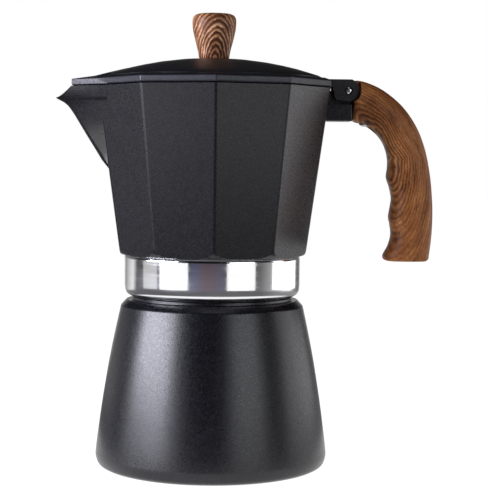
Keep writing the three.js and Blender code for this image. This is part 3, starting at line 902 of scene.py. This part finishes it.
def coatedBlack(name, tint=1.0, smooth=0.25, fleck=0.86):
    # a satin coating on cast metal: tiny grains, each a little duller or glossier, a few of them lighter
    s = coatingSettings
    n = Nodes(name)
    cloud = n.noise(300, 3, 0.6)
    grains = n.add("ShaderNodeTexVoronoi")
    grains.inputs["Scale"].default_value = 2600
    n.join(n.place, grains.inputs["Vector"])
    shine, dullness = n.apart(grains.outputs["Color"])[:2]
    sparkle = n.ramp(shine, [(0.0, (0,)), (fleck, (0,)), (min(fleck + 0.08, 1.0), (1,))])
    # tint above 1 paints the whole coat lighter, as a painted highlight
    ground = n.ramp(cloud, [(0.30, tuple(v * tint for v in s["dark"])), (0.72, tuple(v * tint for v in s["light"]))])
    color = n.mixed(sparkle, ground, (*s["fleck"], 1))
    rough = n.spread(dullness, smooth, smooth + 0.13)
    normal = n.relief(n.noise(3000, 2, 0.6), 0.00006, 0.30)
    return n.finish(color, rough, normal, Metallic=0.0, Specular_IOR_Level=0.55)


def polishedMetal(name):
    # mirror finish with faint lines from turning
    n = Nodes(name)
    lines = n.noise(1, 3, 0.6, n.scaled(6, 6, 2600))
    wisps = n.noise(1, 2, 0.5, n.scaled(70, 70, 900))
    rough = n.spread(wisps, 0.055, 0.15, 0.3, 0.7)
    color = n.ramp(wisps, [(0.3, (0.80, 0.80, 0.81)), (0.7, (0.90, 0.90, 0.91))])
    normal = n.relief(lines, 0.00001, 0.35)
    return n.finish(color, rough, normal, Metallic=1.0)


def castMetal(name):
    # raw cast and turned aluminium inside the pot
    n = Nodes(name)
    pits = n.noise(900, 4, 0.65)
    cloud = n.noise(60, 3, 0.5)
    color = n.ramp(cloud, [(0.3, (0.50, 0.505, 0.51)), (0.7, (0.66, 0.665, 0.67))])
    rough = n.spread(pits, 0.30, 0.52, 0.3, 0.7)
    return n.finish(color, rough, n.relief(pits, 0.00015, 0.4), Metallic=1.0)


def spunMetal(name, color=(0.72, 0.725, 0.73), rough=0.24):
    # sheet metal with rings left by spinning
    n = Nodes(name)
    mark = n.together(*(n.sums("MULTIPLY", way, 2200.0) for way in n.polar()))
    rings = n.noise(1, 2, 0.6, mark)
    smudge = n.noise(120, 3, 0.5)
    tone = n.ramp(smudge, [(0.25, tuple(v * 0.86 for v in color)), (0.75, color)])
    return n.finish(tone, n.spread(rings, rough - 0.07, rough + 0.12, 0.3, 0.7), n.relief(rings, 0.00004, 0.4),
                    Metallic=1.0)


def turnedMetal(name, color, rough=0.25):
    # small turned pieces: brass and steel
    n = Nodes(name)
    fine = n.noise(1, 3, 0.6, n.scaled(500, 3800, 500))
    smudge = n.noise(420, 3, 0.5)
    tone = n.ramp(smudge, [(0.25, tuple(v * 0.8 for v in color)), (0.7, color)])
    return n.finish(tone, n.spread(fine, rough - 0.06, rough + 0.12, 0.3, 0.7), n.relief(fine, 0.00003, 0.4),
                    Metallic=1.0)


def moulded(name, color, rough=0.55):
    n = Nodes(name)
    fine = n.noise(1300, 3, 0.6)
    cloud = n.noise(110, 3, 0.5)
    tone = n.ramp(cloud, [(0.3, tuple(v * 0.9 for v in color)), (0.7, color)])
    return n.finish(tone, n.spread(fine, rough - 0.08, rough + 0.1, 0.3, 0.7), n.relief(fine, 0.00008, 0.4),
                    Subsurface_Weight=0.08, Subsurface_Radius=(0.002, 0.0015, 0.001), Subsurface_Scale=0.5)


woodSettings = {
    "handle": {"centre": (0.0726, 0, 0.133), "stretch": 0.43, "lean": 0.5, "streaks": 420, "lines": 5600,
               "contrast": 0.26,
               # the reach from the centre within which the wood turns darker: on the handle's inner side partly
               # painted shade, partly the wood's darker heart
               "heartAndShade": (0.0015, 0.0060), "colors": [
                   (0.0, (0.060, 0.017, 0.006)), (0.25, (0.150, 0.047, 0.014)), (0.50, (0.275, 0.094, 0.026)),
                   (0.75, (0.410, 0.156, 0.046)), (1.0, (0.600, 0.280, 0.100))]},
    "knob": {"centre": (0.001, 0, 0.1725), "stretch": 0.50, "lean": 0.0, "streaks": 620, "lines": 5000,
             "contrast": 0.32,
             "heartAndShade": (0.0044, 0.0054), "colors": [
                 (0.0, (0.060, 0.018, 0.007)), (0.25, (0.105, 0.034, 0.012)), (0.50, (0.225, 0.086, 0.034)),
                 (0.75, (0.520, 0.255, 0.122)), (1.0, (0.850, 0.540, 0.340))]},
}


def woodPrint(name, kind):
    # a printed wood grain: streaks and fine lines that run round a centre inside the piece, darker near that centre;
    # on the handle's inner side that darkening is partly painted shade
    s = woodSettings[kind]
    n = Nodes(name)
    moved = n.add("ShaderNodeVectorMath", operation="SUBTRACT")
    n.join(n.place, moved.inputs[0])
    moved.inputs[1].default_value = s["centre"]
    sway = n.add("ShaderNodeTexNoise")
    sway.inputs["Scale"].default_value = 48
    sway.inputs["Detail"].default_value = 1.5
    n.join(moved.outputs[0], sway.inputs["Vector"])
    shifted = n.add("ShaderNodeVectorMath", operation="MULTIPLY_ADD")
    n.join(sway.outputs["Color"], shifted.inputs[0])
    shifted.inputs[1].default_value = (0.006, 0.002, 0.008)
    n.join(moved.outputs[0], shifted.inputs[2])
    centred = n.add("ShaderNodeVectorMath", operation="SUBTRACT")
    n.join(shifted.outputs[0], centred.inputs[0])
    centred.inputs[1].default_value = (0.003, 0.001, 0.004)
    x, y, z = n.apart(centred.outputs[0])
    x = n.sums("ADD", x, n.sums("MULTIPLY", n.sums("MAXIMUM", z, 0), s["lean"]))
    z = n.sums("MULTIPLY", z, s["stretch"])
    reach = n.reach(x, z)
    # darker near the centre the grain runs round: on the handle that is its inner side, partly painted shade and
    # partly the wood's darker heart
    heartAndShade = n.spread(reach, -0.20, 0.04, *s["heartAndShade"])
    reach = n.sums("ADD", reach, n.sums("MULTIPLY", y, 0.25))
    turn = n.sums("ARCTAN2", z, x)
    along = n.together(n.sums("MULTIPLY", reach, s["streaks"]), n.sums("MULTIPLY", turn, 2.2))
    streaks = n.noise(1.0, 4, 0.62, along)
    fine = n.together(n.sums("MULTIPLY", reach, s["streaks"] * 4.6), n.sums("MULTIPLY", turn, 22.0))
    pores = n.noise(1.0, 3, 0.65, fine)
    bands = n.sums("SINE", n.sums("ADD", n.sums("MULTIPLY", reach, s["lines"]), n.sums("MULTIPLY", streaks, 7.0)), 0)
    fading = n.spread(reach, s["contrast"], s["contrast"] * 0.28, 0.003, 0.013)
    patches = n.noise(70, 2, 0.5, centred.outputs[0])
    blend = n.sums("ADD", n.sums("MULTIPLY", streaks, 1.10), n.sums("MULTIPLY", patches, 0.55))
    blend = n.sums("ADD", blend, n.sums("MULTIPLY", pores, 0.75))
    blend = n.sums("ADD", blend, n.sums("MULTIPLY", bands, fading))
    blend = n.sums("ADD", blend, heartAndShade)
    level = n.spread(blend, 0, 1, 0.80, 1.60)
    color = n.ramp(level, s["colors"])
    rough = n.spread(pores, 0.42, 0.56, 0.3, 0.7)
    normal = n.relief(pores, 0.00005, 0.3)
    return n.finish(color, rough, normal, Specular_IOR_Level=0.25)


finishes = {
    "coating": coatedBlack("coatedBlack"),
    "lidCoating": coatedBlack("lidCoatedBlack", 1.0, 0.34),
    # the lid's rim strip: the same black coat painted 3.8 times lighter and with more light flecks, a painted
    # highlight where the edge catches the light
    "rimHighlightCoating": coatedBlack("lidRimPaintedHighlight", 3.8, 0.34, 0.72),
    "polished": polishedMetal("polishedAluminium"),
    "cast": castMetal("castAluminium"),
    "spun": spunMetal("spunAluminium"),
    "brass": turnedMetal("turnedBrass", (0.72, 0.50, 0.20), 0.24),
    "steel": turnedMetal("turnedSteel", (0.60, 0.60, 0.61), 0.22),
    "brightSteel": turnedMetal("brightSteel", (0.78, 0.78, 0.79), 0.16),
    "spring": turnedMetal("springSteel", (0.50, 0.50, 0.51), 0.28),
    "silicone": moulded("paleSilicone", (0.80, 0.77, 0.70)),
    "handleWood": woodPrint("handleWoodPrint", "handle"),
    "knobWood": woodPrint("knobWoodPrint", "knob"),
}


# every piece goes to its body, its node and its finish

def assign(piece, node, body, finish=None):
    if finish:
        wear(piece, finish)
    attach(piece, body)
    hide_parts(node)


def makeBoilerGroup():
    boiler = makeBoiler()
    wear(boiler, "coating", "cast")
    for face in boiler.data.polygons:
        face.material_index = 1 if isBareInBoiler(*face.center / mm) else 0
    assign(boiler, "boiler", "boiler_body")
    names = ("valve_body", "valve_washer", "valve_nut", "valve_stem", "valve_cap", "valve_spring")
    looks = ("brass", "steel", "brass", "steel", "brass", "spring")
    for piece, node, finish in zip(makeValve(), names, looks):
        assign(piece, node, "stem_body" if node == "valve_stem" else "boiler_body", finish)
        if node == "valve_spring":
            # the plunger presses it together against the cap
            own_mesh(piece)


def makeInnerGroup():
    assign(makeFunnel(), "funnel", "funnel_body", "spun")
    assign(makeStrainer(), "funnel_strainer", "funnel_body", "spun")
    assign(makeGasket(), "gasket", "seal_body", "silicone")
    assign(makeFilterPlate(), "filter_plate", "seal_body", "spun")


def makeUpperGroup():
    assign(makeChamber(), "upper_chamber", "upper_body")
    assign(makeCollar(), "threaded_collar", "upper_body", "polished")
    lid = makeLid()
    assign(lid, "lid", "lid_body", "lidCoating")
    # a second slot for the lid's rim strip, which is painted lighter as a painted highlight along the edge
    lid.data.materials.append(finishes["rimHighlightCoating"])
    for face in lid.data.polygons:
        x, y, z = face.center / mm
        reach = sideReach(x, y)
        onEar = x > 46 and abs(y) < 7
        onHighlightedRim = reach > 48.1 or x < -48.5
        face.material_index = 1 if onHighlightedRim and 162.8 < z < 165.6 and not onEar else 0
    assign(makeHandle(), "handle", "upper_body", "handleWood")
    assign(makeKnob(), "lid_knob", "lid_body", "knobWood")
    for row in makeSmallPieces():
        assign(*row)


makeBoilerGroup()
print("boiler and valve made")
makeInnerGroup()
print("funnel, strainer, gasket and filter plate made")
makeUpperGroup()
print("upper chamber, collar, lid, handle and knob made")


# floor, lights and camera

viewSettings = {
    "distance": 649.5, "height": 132.279, "bearing": 1.05, "yaw": 1.20, "tilt": 3.235, "roll": 0.564, "lens": 111.08,
    "panels": [
        # name, bearings from and to (0 toward the camera, + to the right), distance, heights, glow, tint
        ("leftPanel", -92, -47, 1200, (150, 600), 18.0, (0.87, 0.87, 1.0)),
        ("leftLowPanel", -70, -31, 500, (2, 105), 1.17, (0.97, 0.97, 1.0)),
        ("leftSideLowPanel", -98, -74, 500, (2, 105), 0.45, (1.0, 1.0, 1.0)),
        ("frontRightLowPanel", 17, 54, 500, (2, 105), 1.10, (1.0, 1.0, 1.0)),
        ("rightLowPanel", 80, 133, 500, (2, 105), 1.15, (1.0, 0.96, 1.0)),
        ("frontRightPanel", 21, 55, 1100, (150, 620), 2.5, (0.93, 0.95, 1.0)),
        ("rightPanel", 84, 118, 900, (110, 600), 1.3, (0.97, 0.94, 1.0)),
    ],
    "top": {"place": (60, -240, 1100), "size": (500, 500), "glow": 0.7},
    # what the pot mirrors, by bearing: the air near the horizon, the floor near the pot and the floor further out
    "air": [(-180, 1.0), (-168, 1.0), (-158, 0.25), (-124, 0.40), (-112, 0.06), (-80, 0.25), (-32, 0.03), (20, 0.03),
            (62, 0.10), (82, 0.25), (112, 0.22), (150, 0.15), (166, 1.0), (180, 1.0)],
    "ground": [(-180, 0.6), (-150, 0.20), (-112, 0.05), (-60, 0.05), (0, 0.07), (60, 0.08), (85, 0.20), (130, 0.25),
               (150, 0.30), (180, 0.6)],
    "farGround": [(-180, 1.0), (-162, 1.0), (-152, 0.25), (-124, 0.85), (-114, 0.08), (-55, 0.09), (-33, 0.07),
                  (-25, (0.085, 0.095, 0.165)), (-8, (0.120, 0.080, 0.090)), (9, (0.095, 0.088, 0.130)), (22, 0.08),
                  (44, 0.08), (62, 0.12), (82, 0.40), (102, 1.10), (116, 1.10), (128, 0.24), (150, 0.12), (162, 1.0),
                  (180, 1.0)],
    "whiteReach": (0.115, 0.150), "farReach": (0.36, 0.44),
    "highAir": 0.04, "dimFrom": (0.125, 0.24),
}


white = (1, 1, 1, 1)


def bearingOf(n, vector):
    # 0 to 1 round the Z axis, 0.5 toward the camera's side
    x, y = n.apart(vector)[:2]
    turn = n.sums("ARCTAN2", x, n.sums("MULTIPLY", y, -1.0))
    return n.sums("ADD", n.sums("DIVIDE", turn, 2 * math.pi), 0.5)


def bearingRamp(n, vector, stops):
    marks = [(degrees / 360 + 0.5, glow if isinstance(glow, tuple) else (glow,)) for degrees, glow in stops]
    return n.ramp(bearingOf(n, vector), marks)


class WorldNodes(Nodes):
    def __init__(self, world):
        world.use_nodes = True
        self.tree = world.node_tree
        self.shader = self.tree.nodes["Background"]
        self.place = self.add("ShaderNodeTexCoord").outputs["Generated"]


def whiteInView(n, mirrored):
    # the room looks plain white, and only its mirror image in the pot is shaded
    return n.mixed(n.add("ShaderNodeLightPath").outputs["Is Camera Ray"], mirrored, white)


def makeCamera():
    s = viewSettings
    bearing = math.radians(s["bearing"])
    turn = bearing + math.radians(s["yaw"])
    tilt = math.radians(s["tilt"])
    roll = math.radians(s["roll"])
    forward = Vector((math.sin(turn) * math.cos(tilt), math.cos(turn) * math.cos(tilt), -math.sin(tilt)))
    right = Vector((math.cos(turn), -math.sin(turn), 0))
    up = right.cross(forward)
    side = right * math.cos(roll) + up * math.sin(roll)
    top = up * math.cos(roll) - right * math.sin(roll)
    place = Vector((-s["distance"] * math.sin(bearing), -s["distance"] * math.cos(bearing), s["height"])) * mm
    bpy.ops.object.camera_add()
    camera = bpy.context.object
    camera.name = "viewCamera"
    camera.data.lens = s["lens"]
    camera.data.sensor_width = 36
    camera.matrix_world = Matrix((
        (side.x, top.x, -forward.x, place.x), (side.y, top.y, -forward.y, place.y),
        (side.z, top.z, -forward.z, place.z), (0, 0, 0, 1)))
    bpy.context.scene.camera = camera


def addPanel(name, place, target, width, height, glow, tint=(1, 1, 1)):
    # an area light given by how bright it looks, not by its watts
    bpy.ops.object.light_add(type="AREA", location=place)
    light = bpy.context.object
    light.name = name
    light.data.shape = "RECTANGLE"
    light.data.size = width
    light.data.size_y = height
    light.data.color = tint
    light.data.energy = glow * math.pi * width * height
    light.visible_camera = False
    light.rotation_euler = (Vector(target) - Vector(place)).to_track_quat("-Z", "Y").to_euler()


def makeLights():
    s = viewSettings
    for name, start, end, distance, heights, glow, tint in s["panels"]:
        middle = math.radians(-90 + (start + end) / 2)
        low, high = heights
        z = (low + high) / 2 * mm
        place = (distance * mm * math.cos(middle), distance * mm * math.sin(middle), z)
        width = 2 * distance * mm * math.tan(math.radians((end - start) / 2))
        addPanel(name, place, (0, 0, z), width, (high - low) * mm, glow, tint)
    top = s["top"]
    addPanel("topPanel", Vector(top["place"]) * mm, (0, 0, 0.1), top["size"][0] * mm, top["size"][1] * mm,
             top["glow"])
    world = bpy.data.worlds.new("studio")
    bpy.context.scene.world = world
    n = WorldNodes(world)
    dimming = n.spread(n.apart(n.place)[2], 1.0, s["highAir"], *s["dimFrom"])
    dimmed = n.mixed(1.0, bearingRamp(n, n.place, s["air"]), dimming, blend_type="MULTIPLY")
    n.join(whiteInView(n, dimmed), n.shader.inputs["Color"])
    bpy.context.scene.view_settings.view_transform = "Standard"


def makeFloor():
    clearSelection()
    bpy.ops.mesh.primitive_plane_add(size=8, location=(0, 0, -0.0002))
    floor = bpy.context.object
    floor.name = "paleFloor"
    placeInMesh(floor)
    n = Nodes("paleSurface")
    distance = n.polar()[0]
    s = viewSettings
    near, far = (bearingRamp(n, n.place, s[key]) for key in ("ground", "farGround"))
    around = n.mixed(n.spread(distance, 0, 1, *s["farReach"]), near, far)
    shaded = n.mixed(n.spread(distance, 0, 1, *s["whiteReach"]), white, around)
    n.join(whiteInView(n, shaded), n.shader.inputs["Emission Color"])
    tone = n.ramp(n.noise(3, 2, 0.4), [(0.3, (0.10, 0.10, 0.10)), (0.7, (0.12, 0.12, 0.12))])
    floor.data.materials.append(n.finish(tone, 0.7, Emission_Strength=1.02, Specular_IOR_Level=0.0))


makeFloor()
makeLights()
makeCamera()
print("floor, lights and camera made")
